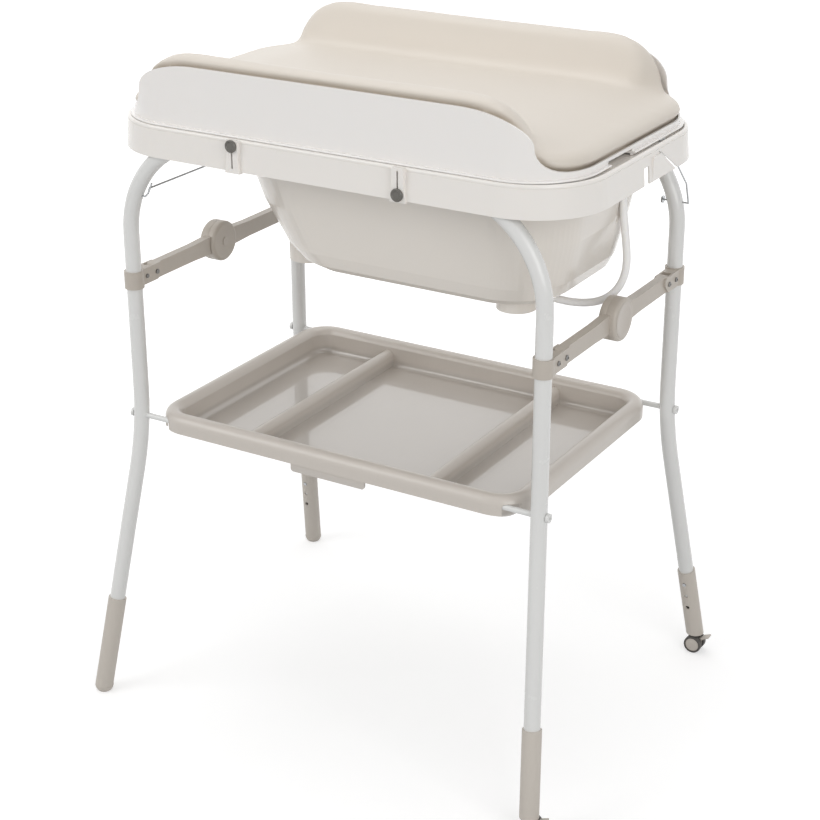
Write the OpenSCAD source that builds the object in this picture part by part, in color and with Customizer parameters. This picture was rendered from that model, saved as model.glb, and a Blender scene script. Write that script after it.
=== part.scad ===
// Folding baby changing table with a bath tub under the changing mat.
// Millimetres, +Z up, floor at z = 0, +X to the right along the long side, -Y to the front.

/* [Frame] */
// Half the distance between the left and right legs
leg_x = 360; // [340:1:380]
// Half the distance between the front and rear legs
leg_y = 226.5; // [222:0.5:228]
// Outside diameter of the frame tube
tube_d = 25; // [22:0.5:26]
// Wall of the frame tube
tube_wall = 1.2; // [1:0.1:2]
// Radius of the bend at each top corner
bend_r = 161; // [150:1:162]
// Height at which the top bends begin
bend_z = 790.5; // [780:0.5:792]
// Height of the knee in each leg
knee_z = 460; // [455:1:465]
// Angle by which the lower legs splay
knee_angle = 12.8; // [11:0.1:14]
// Radius of the knee bend
knee_r = 620; // [580:5:640]

/* [Feet] */
// Outside diameter of the leg sleeves
sleeve_d = 30; // [29:0.5:33]
// Height of the top edge of the sleeves
sleeve_top_z = 166; // [160:1:172]
// Spacing of the height holes along the leg
hole_pitch = 24.5; // [23:0.5:24.5]
// Diameter of the height holes
hole_d = 7; // [6.6:0.2:8]
// Height of the lower edge of the right sleeves above the floor
caster_gap = 33; // [33:0.5:36]
// Diameter of the caster wheels
wheel_d = 31; // [28:0.5:31]
// Width of each caster wheel
wheel_w = 9.5; // [8:0.5:11]

/* [Cross bars] */
// Height of the cross bars
bar_z = 714; // [700:1:730]
// Thickness of the bars
bar_t = 14; // [12:0.5:16]
// Height of the bar section
bar_h = 26; // [22:1:26]
// Distance from the leg to the bar pivot
pivot_reach = 47.5; // [47:0.5:52]
// Radius of the folding hub
hub_r = 33.5; // [31:0.5:35]
// Thickness of the outer hub shell
hub_outer_t = 9; // [8.5:0.5:11]
// Thickness of the inner hub shell
hub_inner_t = 6; // [5:0.5:7]
// Diameter of the release button
button_d = 54; // [48:1:58]

/* [Basin] */
// Half the length of the basin skirt at its lower edge
skirt_x = 403.5; // [400:0.5:410]
// Half the width of the basin skirt at its lower edge
skirt_y = 244.5; // [244.5:0.5:250]
// Corner radius of the skirt at its lower edge
skirt_r = 116; // [105:1:120]
// How much the skirt leans in towards its top
skirt_draft = 3.5; // [2:0.5:4]
// Height of the skirt's lower edge
skirt_z = 924; // [915:1:930]
// Height of the top of the rim bead
rim_z = 972; // [972:0.5:974]
// Wall of the basin
basin_wall = 3; // [2.5:0.1:3.5]
// Wall of the skirt
skirt_wall = 2.5; // [2:0.1:2.5]
// Height of the underside of the tub floor
tub_z = 757; // [750:1:765]
// Diameter of the moulded tub feet
tub_foot_d = 60; // [50:1:66]
// Outside diameter of the drain hose
hose_d = 12; // [11:0.2:12]

/* [Changing top] */
// Half the length of the changing top
top_x = 386; // [378:1:386]
// Half the width of the changing top
top_y = 234; // [230:1:235]
// Corner radius of the changing top
top_r = 100; // [95:1:115]
// Height of the front wall
wall_front_z = 1066; // [1056:1:1070]
// Height of the rear wall
wall_rear_z = 1071; // [1060:1:1074]
// Height of the end walls
wall_end_z = 984; // [982:1:998]
// Wall of the changing top
top_wall = 3; // [2.5:0.1:3.5]
// Height of the flat of the mat
mat_flat_z = 1022; // [1015:1:1028]
// Height of the mat's bolsters above the walls
bolster = 17; // [14:1:20]

/* [Shelf] */
// Half the length of the shelf tray
tray_x = 332; // [325:1:335]
// Half the width of the shelf tray
tray_y = 240; // [240:0.5:242]
// Height of the tray's rim
tray_rim_z = 500; // [498:0.5:504]
// Height of the tray's floor
tray_floor_z = 453; // [448:1:455]
// Wall of the tray
tray_wall = 3; // [2.5:0.1:3.5]
// Diameter of the shelf rods
rod_d = 9; // [8:0.2:9]
// Distance of the dividers from the middle
divider_x = 163; // [140:1:180]

/* [Hidden] */
$fn = 64;

// clearances
run = 0.06;                 // radial clearance of everything that turns or slides on a shaft
gap = 0.3;                  // gap between pieces that only lie beside each other

// frame
tube_r = tube_d/2;
tube_bore = tube_r - tube_wall;
knee_azimuth = 64.5;        // direction of the splay, from +X towards +Y
knee_t = knee_r*tan(knee_angle/2);
knee_ball = 0.06;           // a ball this much larger closes each end of the knee bend
top_z = bend_z + bend_r;    // height of the top tube's axis
tube_end = 361;             // end of the tube, measured down the leg from the knee
leg_cos = cos(knee_angle);
rod_z = 484;
rod_y = leg_y + 1.5;        // the knee bend has moved the leg out this far at the rod
rod_r = rod_d/2;

// feet: distances down the leg from the knee
sleeve_r = sleeve_d/2;
sleeve_bore = tube_r + run;
sleeve_top = (knee_z - sleeve_top_z)/leg_cos;
snap_s = sleeve_top + 22.5;
plug_s = 428;
column_s = 412;
column_r = 7.8;
foot_z = 10;                // lower edge of the left sleeves
stem_r = 3.5;
stem_top_z = 57;
stem_mid_z = 44.5;
caster_x = leg_x + (knee_z - stem_mid_z)*tan(knee_angle)*cos(knee_azimuth);
caster_y = leg_y + (knee_z - stem_mid_z)*tan(knee_angle)*sin(knee_azimuth);
wheel_r = wheel_d/2;
trail = 3;
wheel_in = 4.3;             // inner face of each wheel from the caster's middle
rim_t = 3.3;                // thickness of the tyre
brake_px = trail + 10.5;
brake_pz = wheel_r + 8.5;
brake_tilt = 22;

// the left feet and the brake pedals reach out differently, so the legs stand off centre
foot_ball_r = 15.5;
foot_ball_z = 11;
foot_ball_x = leg_x + (knee_z - foot_ball_z)*tan(knee_angle)*cos(knee_azimuth);
foot_reach = foot_ball_x + sqrt(foot_ball_r*foot_ball_r - 1);
brake_len = 14;
brake_reach = caster_x + brake_px + 3.6 + brake_len*cos(brake_tilt);
mid_x = (foot_reach - brake_reach)/2;

// clamps and bars
clamp_r = tube_r + 3;
clamp_h = 28;
cheek = 3;
bar_off = 2;                // the bars lie this far outside the leg's axis
cheek_in = bar_off - bar_t/2 - 0.15;
cheek_out = bar_off + bar_t/2 + 0.15;
pivot_y = leg_y - pivot_reach;
pivot_r = 3;
screw_reach = 22;
web_reach = pivot_reach - 14.5;
bar_mid = leg_x + bar_off;
bar_in = bar_mid - bar_t/2;
bar_out = bar_mid + bar_t/2;
lap = 0.1;                  // each lapped tongue keeps this far from the middle
hub_clear = hub_r + 1;
hub_pin_r = 4;
button_r = button_d/2;
pocket_x = bar_out + 1.2;
button_t = 3.5;
hub_face = bar_out + hub_outer_t;

// basin
corner_x = skirt_x - skirt_r; // centres of the skirt's corners
corner_y = skirt_y - skirt_r;
deck_z = 966;
deck_t = 2.7;
deck_top = deck_z + deck_t;
bead_r = 4;
bead_z = rim_z - bead_r;
skirt_top_r = skirt_r - skirt_draft;
lean = (deck_z - skirt_z)/skirt_draft;  // the skirt leans in by one millimetre over this height
tub = [[tub_z, -110, 300, 140, 80], [tub_z + 8, -135, 312, 148, 88],
       [tub_z + 28, -165, 322, 156, 95], [tub_z + 93, -212, 338, 172, 105],
       [924, -240, 350, 188, 110], [970, -258, 356, 198, 112]];
tub_left_r = [80, 88, 110, 140, 165, 172];
drain_x = 200;
drain_r = 16;
hose_r = hose_d/2;
hose_bore = 4;
hose_x = 343.5;
hose_y = 50;
hose_lead = [19, 5, -7];     // the way the hose leaves the fitting
hose_route = [[218.7, 1.5, 732.9], [232, 5, 728], [258, 12, 720], [300, 20, 719], [330, 30, 725],
              [345, 42, 740], [356, 50, 768], [355, 50, 800], [350, 50, 835],
              [345, 50, 870], [343.5, 50, 900], [343.5, 50, 948]];
hinge_x = 180;
hinge_y = 250;
hinge_z = 974;
hinge_r = 6;
hinge_pin_r = 2;
lug_half = 3.7;
latch_left_x = -145;
latch_right_x = 137;
latch_low = 933;
latch_travel = 30;
pad_y = skirt_y + 4;        // outer face of the latch guides
foot_right = [248, 96];
foot_left = [-140, 62];

// changing top
base_z = 969;
floor_z = 972;
s_start = 223;               // the walls begin to fall here
s_mid = 333;
s_end = 376;                 // and reach the low ends here
lip_out = 5;                 // the lip over the basin's rim stands out this far
lip_low = rim_z + 0.4;
notch_h = 11;                // finger notch in the right end

// tray
tray_rim_r = 56;
tray_roll = 14;              // radius of the rolled rim
tray_body_x = tray_x - 24.5;
tray_body_y = tray_y - 24.5;
tray_body_r = tray_rim_r - 24.5;
roll_z = tray_rim_z - tray_roll;
round_r = 12;
lip_z = 470.5;
ridge_r = 10;
ridge_z = 475;               // middle of the round top of each divider

wire_r = 1.4;
wire_hole_r = 1.7;
wire_left_z = 865;
wire_right_z = 833.5;

module placed() translate([mid_x, 0, 0]) children();

// The rear right leg as drawn, mirrored to the other three.
module at_leg(sx, sy) {
  if (sx < 0) mirror([1, 0, 0]) at_leg(1, sy) children();
  else if (sy < 0) mirror([0, 1, 0]) at_leg(1, 1) children();
  else translate([leg_x, leg_y, 0]) children();
}

// Along a lower leg: the knee is the origin, -Z runs down the leg, +X faces its inner side.
module down_leg(sx, sy) {
  at_leg(sx, sy) translate([0, 0, knee_z]) rotate([0, 0, knee_azimuth])
    rotate([0, -knee_angle, 0]) rotate([0, 0, 270 - knee_azimuth]) children();
}

module rod_between(a, b, r) {
  v = b - a;
  l = norm(v);
  translate(a) rotate([0, acos(v.z/l), atan2(v.y, v.x)]) cylinder(r = r, h = l);
}

module bent_rod(route, r) {
  for (i = [0:len(route) - 2]) rod_between(route[i], route[i + 1], r);
  for (i = [1:len(route) - 2]) translate(route[i]) sphere(r = r + 0.06);
}

// A plan outline with its own radius at the left and at the right end.
module plan(xl, xr, w, rl, rr) {
  polygon([[xl, -(w - rl)], [xl + rl, -w], [xr - rr, -w], [xr, -(w - rr)],
           [xr, w - rr], [xr - rr, w], [xl + rl, w], [xl, w - rl]]);
  for (s = [-1, 1]) {
    translate([xl + rl, s*(w - rl)]) circle(r = rl, $fn = 96);
    translate([xr - rr, s*(w - rr)]) circle(r = rr, $fn = 96);
  }
}

module even_plan(x, y, r) plan(-x, x, y, r, r);

// A round bead that runs along an even plan outline.
module bead(x, y, r, bead) {
  for (sx = [-1, 1], sy = [-1, 1])
    translate([sx*(x - r), sy*(y - r), 0])
      rotate([0, 0, sx > 0 ? (sy > 0 ? 0 : 270) : (sy > 0 ? 90 : 180)])
        rotate_extrude(angle = 90, $fn = 96) translate([r, 0]) circle(r = bead, $fn = 32);
  for (s = [-1, 1]) {
    translate([-(x - r), s*y, 0]) rotate([0, 90, 0]) cylinder(r = bead, h = 2*(x - r), $fn = 32);
    translate([s*x, -(y - r), 0]) rotate([-90, 0, 0]) cylinder(r = bead, h = 2*(y - r), $fn = 32);
  }
}

// Frame.
// The whole run of one frame tube, filled to a radius.
module tube_run(sy, r, past) {
  for (sx = [-1, 1]) {
    at_leg(sx, sy) {
      rotate([0, 0, knee_azimuth]) translate([knee_r, 0, knee_z + knee_t]) rotate([90, 0, 0])
        rotate([0, 0, 180]) rotate_extrude(angle = knee_angle, $fn = 720)
          translate([knee_r, 0]) circle(r = r);
      translate([0, 0, knee_z + knee_t]) sphere(r = r + knee_ball);
      translate([0, 0, knee_z + knee_t]) cylinder(r = r, h = bend_z - knee_z - knee_t);
      translate([-bend_r, 0, bend_z]) rotate([90, 0, 0])
        rotate_extrude(angle = 90, $fn = 180) translate([bend_r, 0]) circle(r = r);
    }
    down_leg(sx, sy) {
      translate([0, 0, -tube_end - past]) cylinder(r = r, h = tube_end + past - knee_t);
      translate([0, 0, -knee_t]) sphere(r = r + knee_ball);
    }
  }
  translate([-(leg_x - bend_r), sy*leg_y, top_z]) rotate([0, 90, 0])
    cylinder(r = r, h = 2*(leg_x - bend_r));
}

module frame_tube(sy) {
  color("#e9e9ea") placed() difference() {
    tube_run(sy, tube_r, 0);
    tube_run(sy, tube_bore, 1);
    for (sx = [-1, 1]) {
      down_leg(sx, sy) translate([0, 0, -snap_s]) rotate([0, 90, 0])
        cylinder(d = hole_d, h = sleeve_r + 2);
      translate([sx*leg_x, sy*rod_y, rod_z]) rotate([0, 90, 0])
        cylinder(r = rod_r, h = 3*tube_r, center = true);
    }
    if (sy > 0) {
      translate([leg_x - 30, leg_y, wire_right_z]) rotate([0, 90, 0]) cylinder(r = wire_hole_r, h = 60);
      translate([-leg_x + 10, leg_y, wire_left_z]) rotate([0, 90, 0]) cylinder(r = wire_hole_r, h = 40);
    } else {
      translate([-leg_x + 10, -leg_y, wire_left_z - 12]) rotate([0, 90, 0])
        cylinder(r = wire_hole_r, h = 40);
    }
  }
}

module shelf_rod(sy) {
  head = leg_x + tube_r + 1.3;
  color("#c9cbcd") placed() translate([0, sy*rod_y, rod_z]) rotate([0, 90, 0]) {
    translate([0, 0, -head]) cylinder(r = rod_r, h = 2*head);
    for (s = [-1, 1]) translate([0, 0, s*head - (s < 0 ? 4.5 : 0)]) difference() {
      cylinder(r = 7, h = 4.5);
      translate([0, 0, s > 0 ? 2.5 : -1]) cylinder(r = 3, h = 3);
    }
  }
}

module clamp(sx, sy) {
  color("#bfb6ab") placed() at_leg(sx, sy) translate([0, 0, bar_z]) difference() {
    union() {
      translate([0, 0, -clamp_h/2]) cylinder(r = clamp_r, h = clamp_h);
      difference() {
        translate([cheek_in - cheek, 0, 0]) rotate([90, 0, 90])
          linear_extrude(height = cheek_out - cheek_in + 2*cheek)
            polygon([[0, -13], [-(pivot_reach + 2), -13], [-(pivot_reach + 15), 1],
                     [-(pivot_reach + 15), 8], [-(pivot_reach + 11), 13], [0, 13]]);
        translate([cheek_in, -(pivot_reach + 20), -20])
          cube([cheek_out - cheek_in, pivot_reach + 20 - web_reach, 40]);
      }
    }
    translate([0, 0, -clamp_h]) cylinder(r = tube_r, h = 2*clamp_h);
    translate([-20, -pivot_reach, 0]) rotate([0, 90, 0]) cylinder(r = pivot_r, h = 40);
    translate([-20, -screw_reach, 0]) rotate([0, 90, 0]) cylinder(r = 2.5, h = 40);
  }
}

// A round-headed pin across a clamp, with a small socket in its head.
module cross_pin(reach, r, head_r) {
  grip = cheek_out - cheek_in + 2*cheek;
  translate([cheek_in - cheek, -reach, bar_z]) rotate([0, 90, 0]) difference() {
    union() {
      cylinder(r = r, h = grip);
      translate([0, 0, grip]) intersection() {
        cylinder(r = head_r, h = 3);
        translate([0, 0, 3 - head_r*1.5]) sphere(r = head_r*1.5);
      }
      translate([0, 0, -2]) cylinder(r = head_r - 0.4, h = 2);
    }
    translate([0, 0, grip + 1.6]) cylinder(r = 1.7, h = 3);
  }
}

module pivot(sx, sy) color("#8f9193") placed() at_leg(sx, sy) cross_pin(pivot_reach, pivot_r, 4.2);

module screw(sx, sy) color("#8f9193") placed() at_leg(sx, sy) cross_pin(screw_reach, 2.5, 3.8);

// One arm of a cross bar, from its pivot to the hub.
module bar_arm(sy) {
  translate([bar_in, 0, bar_z]) rotate([90, 0, 90]) linear_extrude(height = bar_t) {
    translate([sy*pivot_y, 0]) circle(r = bar_h/2);
    polygon([[sy*pivot_y, bar_h/2], [sy*78, bar_h/2], [sy*30, bar_h/2 + 2],
             [sy*30, -bar_h/2 - 2], [sy*78, -bar_h/2], [sy*pivot_y, -bar_h/2]]);
  }
}

module hub_disc(x0, x1, r) translate([x0, 0, bar_z]) rotate([0, 90, 0]) cylinder(r = r, h = x1 - x0);

module pivot_bore(sy) translate([bar_in - 1, sy*pivot_y, bar_z]) rotate([0, 90, 0])
  cylinder(r = pivot_r + run, h = bar_t + 2);

module bar_rear(sx) {
  color("#b9afa4") placed() mirror([sx < 0 ? 1 : 0, 0, 0]) difference() {
    union() {
      difference() {
        bar_arm(1);
        hub_disc(bar_mid - lap, bar_out + 1, hub_clear);
      }
      hub_disc(bar_in, bar_mid - lap, hub_r);
      translate([bar_in - hub_inner_t, 0, bar_z]) rotate([0, 90, 0])
        rotate_extrude() polygon([[0, 0], [hub_r - 5, 0], [hub_r - 2.2, 1], [hub_r - 0.6, 2.6],
                                  [hub_r, 4.5], [hub_r, hub_inner_t], [0, hub_inner_t]]);
    }
    pivot_bore(1);
    hub_disc(bar_in - 20, bar_out + 20, hub_pin_r);
  }
}

module bar_front(sx) {
  color("#b9afa4") placed() mirror([sx < 0 ? 1 : 0, 0, 0]) difference() {
    union() {
      difference() {
        bar_arm(-1);
        hub_disc(bar_in - 1, bar_mid + lap, hub_clear);
      }
      hub_disc(bar_mid + lap, bar_out, hub_r);
      translate([bar_out, 0, bar_z]) rotate([0, 90, 0])
        rotate_extrude() polygon([[0, 0], [hub_r, 0], [hub_r, hub_outer_t - 4.5],
                                  [hub_r - 0.6, hub_outer_t - 2.6], [hub_r - 2, hub_outer_t - 0.8],
                                  [hub_r - 4, hub_outer_t], [0, hub_outer_t]]);
    }
    pivot_bore(-1);
    hub_disc(bar_in - 20, bar_out + 20, hub_pin_r + run);
    hub_disc(pocket_x, hub_face + 1, button_r + run);
  }
}

module hub_button(sx) {
  color("#cfc7bd") placed() mirror([sx < 0 ? 1 : 0, 0, 0]) difference() {
    hub_disc(hub_face - button_t + 0.4, hub_face + 0.4, button_r);
    translate([hub_face + 138.6, 0, bar_z]) sphere(r = 140, $fn = 180);
  }
}

module hub_pin(sx) {
  color("#8f9193") placed() mirror([sx < 0 ? 1 : 0, 0, 0]) {
    hub_disc(bar_in - hub_inner_t - 1.2, pocket_x + 1.2, hub_pin_r);
    hub_disc(bar_in - hub_inner_t - 1.2, bar_in - hub_inner_t, 7);
    hub_disc(pocket_x, pocket_x + 1.2, 7.5);
  }
}

// The wires that hold the shelf-side stay and the folded tub.
module stay_wire_left() {
  color("#9b9d9f") placed() {
    bent_rod([[-338, leg_y, wire_left_z], [-327, leg_y, wire_left_z], [-325, leg_y - 8, wire_left_z],
              [-325, -leg_y + 8, wire_left_z], [-322, -leg_y, 859], [-328, -leg_y, wire_left_z - 12],
              [-336, -leg_y, wire_left_z - 12]], wire_r);
    rod_between([-322, -leg_y, 859], [-314, -leg_y, 876], wire_r);
  }
}

module hook_wire_right() {
  color("#9b9d9f") placed() {
    bent_rod([[388, 76, 956], [388, 76, 970.4], [388, 90, 970.4], [376.5, 214, 868],
              [376.5, leg_y, wire_right_z], [334, leg_y, wire_right_z]], wire_r);
    translate([332.6, leg_y, wire_right_z]) rotate([0, 90, 0]) cylinder(r = 6, h = 2.4);
  }
}

// The sprung clip inside each leg that clicks into the height holes.
module snap(sx, sy) {
  half_w = 4;
  leaf = 9.6;
  color("#a7a9ab") placed() down_leg(sx, sy) translate([0, 0, -snap_s]) {
    rotate([0, 90, 0]) translate([0, 0, leaf + 0.4]) cylinder(d = hole_d - 0.6, h = 5.8);
    for (s = [leaf, -leaf - 0.8]) translate([s, -half_w, -6]) cube([0.8, 2*half_w, 40]);
    translate([0, half_w, 34]) rotate([90, 0, 0]) rotate_extrude(angle = 180)
      translate([leaf, 0]) square([0.8, 2*half_w]);
  }
}

module sleeve_body(sx, sy) {
  difference() {
    translate([0, 0, -500]) cylinder(r = sleeve_r, h = 500 - sleeve_top);
    difference() {
      translate([0, 0, -plug_s]) cylinder(r = sleeve_bore, h = plug_s);
      translate([0, 0, -plug_s]) cylinder(r = column_r, h = plug_s - column_s);
    }
    for (i = [0:2]) translate([0, 0, -snap_s - i*hole_pitch]) rotate([0, 90, 0])
      cylinder(d = hole_d, h = sleeve_r + 2);
  }
}

module sleeve(sx, sy) {
  color("#b7afa4") placed() difference() {
    down_leg(sx, sy) sleeve_body(sx, sy);
    if (sx > 0) {
      translate([leg_x - 100, sy*leg_y - 200, caster_gap - 100]) cube([300, 400, 100]);
      translate([caster_x, sy*caster_y, 0]) cylinder(r = stem_r + run, h = stem_top_z + 0.5);
    } else {
      translate([-leg_x - 200, sy*leg_y - 200, foot_z - 100]) cube([300, 400, 100]);
      down_leg(sx, sy) translate([0, 0, -500]) cylinder(r = sleeve_bore, h = 500 - plug_s + 20);
    }
  }
}

module foot(sy) {
  color("#b0a79b") placed() {
    difference() {
      down_leg(-1, sy) translate([0, 0, -500]) cylinder(r = sleeve_bore, h = 500 - plug_s);
      translate([-leg_x - 200, sy*leg_y - 200, foot_z - 100]) cube([300, 400, 100]);
    }
    intersection() {
      translate([-foot_ball_x, sy*(leg_y + (knee_z - foot_ball_z)*tan(knee_angle)*sin(knee_azimuth)),
                 foot_ball_z]) sphere(r = foot_ball_r);
      translate([-foot_ball_x - 50, sy*caster_y - 50, 0]) cube([100, 100, foot_z]);
    }
  }
}

module at_caster(sy) translate([caster_x, sy*caster_y, 0]) children();

module caster_fork(sy) {
  color("#4b4846") placed() at_caster(sy) {
    translate([0, 0, caster_gap - 1.6]) cylinder(r = 9, h = 1.4);
    translate([0, 0, caster_gap - 1.6]) cylinder(r = stem_r, h = stem_top_z - caster_gap + 1.6);
    difference() {
      translate([0, wheel_in - 0.5, 0]) rotate([90, 0, 0]) linear_extrude(height = 2*wheel_in - 1) {
        polygon([[-8, caster_gap - 1.5], [-8, 22], [-3, 12], [9, 12], [9, caster_gap - 1.5]]);
        translate([trail, wheel_r]) circle(r = 7);
      }
      translate([trail, 10, wheel_r]) rotate([90, 0, 0]) cylinder(r = 2.5 + run, h = 20);
    }
    translate([0, 1.5, 0]) rotate([90, 0, 0]) linear_extrude(height = 3) {
      polygon([[5, 17], [brake_px + 1, brake_pz - 2.5], [brake_px, brake_pz + 2.5], [5, 29]]);
      translate([brake_px, brake_pz]) circle(r = 2.6);
    }
    translate([brake_px, 3.7, brake_pz]) rotate([90, 0, 0]) cylinder(r = 1.5, h = 7.4);
  }
}

module caster_hub(sy) {
  out = wheel_in + wheel_w;
  color("#bdb5aa") placed() at_caster(sy) translate([trail, 0, wheel_r]) rotate([90, 0, 0]) {
    translate([0, 0, -out + 1]) cylinder(r = 2.5, h = 2*out - 2);
    for (s = [0, 1]) mirror([0, 0, s]) translate([0, 0, wheel_in]) rotate_extrude()
      polygon([[0, 2], [wheel_r - rim_t, 2], [wheel_r - rim_t, wheel_w - 1.2],
               [wheel_r - rim_t - 1, wheel_w - 0.5], [5, wheel_w + 0.2], [0, wheel_w + 0.3]]);
  }
}

module caster_tyre(sy, side) {
  color("#3c3a39") placed() at_caster(sy) translate([trail, 0, wheel_r]) rotate([90, 0, 0])
    mirror([0, 0, side]) translate([0, 0, wheel_in]) rotate_extrude()
      polygon([[wheel_r - rim_t, 0], [wheel_r - 1.2, 0], [wheel_r - 0.3, 0.5], [wheel_r, 1.8],
               [wheel_r, wheel_w - 1.8], [wheel_r - 0.3, wheel_w - 0.5],
               [wheel_r - 1.2, wheel_w], [wheel_r - rim_t, wheel_w]]);
}

module caster_brake(sy) {
  color("#a59c91") placed() at_caster(sy) difference() {
    union() {
      for (y = [-3.7, 1.7]) translate([0, y + 2, 0]) rotate([90, 0, 0]) linear_extrude(height = 2) {
        translate([brake_px, brake_pz]) circle(r = 3);
        polygon([[brake_px - 1.5, brake_pz + 2.6], [brake_px + 2.6, brake_pz - 1.5],
                 [brake_px + 9, brake_pz + 4], [brake_px + 7, brake_pz + 7]]);
      }
      translate([brake_px + 3.6, 0, brake_pz + 3]) rotate([0, -brake_tilt, 0])
        translate([0, -7, 0]) cube([brake_len, 14, 2.6]);
    }
    translate([brake_px, 10, brake_pz]) rotate([90, 0, 0]) cylinder(r = 1.5 + run, h = 20);
  }
}

// The tub as a filled form, drawn in by an inset.
module tub_solid(inset) {
  hull() for (i = [0:len(tub) - 1])
    translate([0, 0, tub[i][0] + (i == 0 ? inset : 0)]) linear_extrude(height = 0.6)
      for (s = [-1, 1]) {
        translate([tub[i][1] + tub_left_r[i], s*max(tub[i][3] - tub_left_r[i], 0)])
          circle(r = min(tub_left_r[i], tub[i][3]) - inset, $fn = 72);
        translate([tub[i][2] - tub[i][4], s*(tub[i][3] - tub[i][4])])
          circle(r = tub[i][4] - inset, $fn = 72);
      }
}

// The drafted block of the skirt, drawn in by an inset all round.
module skirt_block(inset, z0, z1) {
  h = deck_z - skirt_z;
  d0 = skirt_draft*(z0 - skirt_z)/h + inset;
  d1 = skirt_draft*(z1 - skirt_z)/h + inset;
  for (sx = [-1, 1], sy = [-1, 1]) translate([sx*corner_x, sy*corner_y, z0])
    cylinder(r1 = skirt_r - d0, r2 = skirt_r - d1, h = z1 - z0, $fn = 96);
  translate([-corner_x, 0, 0]) rotate([90, 0, 90]) linear_extrude(height = 2*corner_x)
    polygon([[-(skirt_y - d0), z0], [skirt_y - d0, z0], [skirt_y - d1, z1], [-(skirt_y - d1), z1]]);
  translate([0, corner_y, 0]) rotate([90, 0, 0]) linear_extrude(height = 2*corner_y)
    polygon([[-(skirt_x - d0), z0], [skirt_x - d0, z0], [skirt_x - d1, z1], [-(skirt_x - d1), z1]]);
}

module tub_foot(p) for (s = [-1, 1]) translate([p.x, s*p.y, tub_z - 17]) difference() {
  cylinder(d = tub_foot_d, h = 40);
  translate([0, 0, -1]) cylinder(d = tub_foot_d - 6, h = 50);
}

module hose_channel(r, top) translate([hose_x, hose_y, 838]) {
  cylinder(r = r, h = top - 838);
  translate([0, -r, 0]) cube([30, 2*r, top - 838]);
}

module latch_guide(x) {
  w = 10;
  translate([x, 0, 0]) {
    translate([-w, -pad_y, skirt_z - 1]) cube([2*w, pad_y - skirt_y + 4.5, 48]);
    translate([0, -pad_y + 8, 0]) rotate([90, 0, 0]) linear_extrude(height = 8)
      polygon([[-13, skirt_z - 2], [13, skirt_z - 2], [w, 940], [-w, 940]]);
  }
}

module latch_groove(x) translate([x, 0, 0]) {
  translate([-6.4, -pad_y + 1.3, latch_low - 6]) cube([12.8, 2.3, latch_travel + 12]);
  translate([-1.4, -pad_y - 1, latch_low - 4]) cube([2.8, 5, latch_travel + 8]);
}

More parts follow.
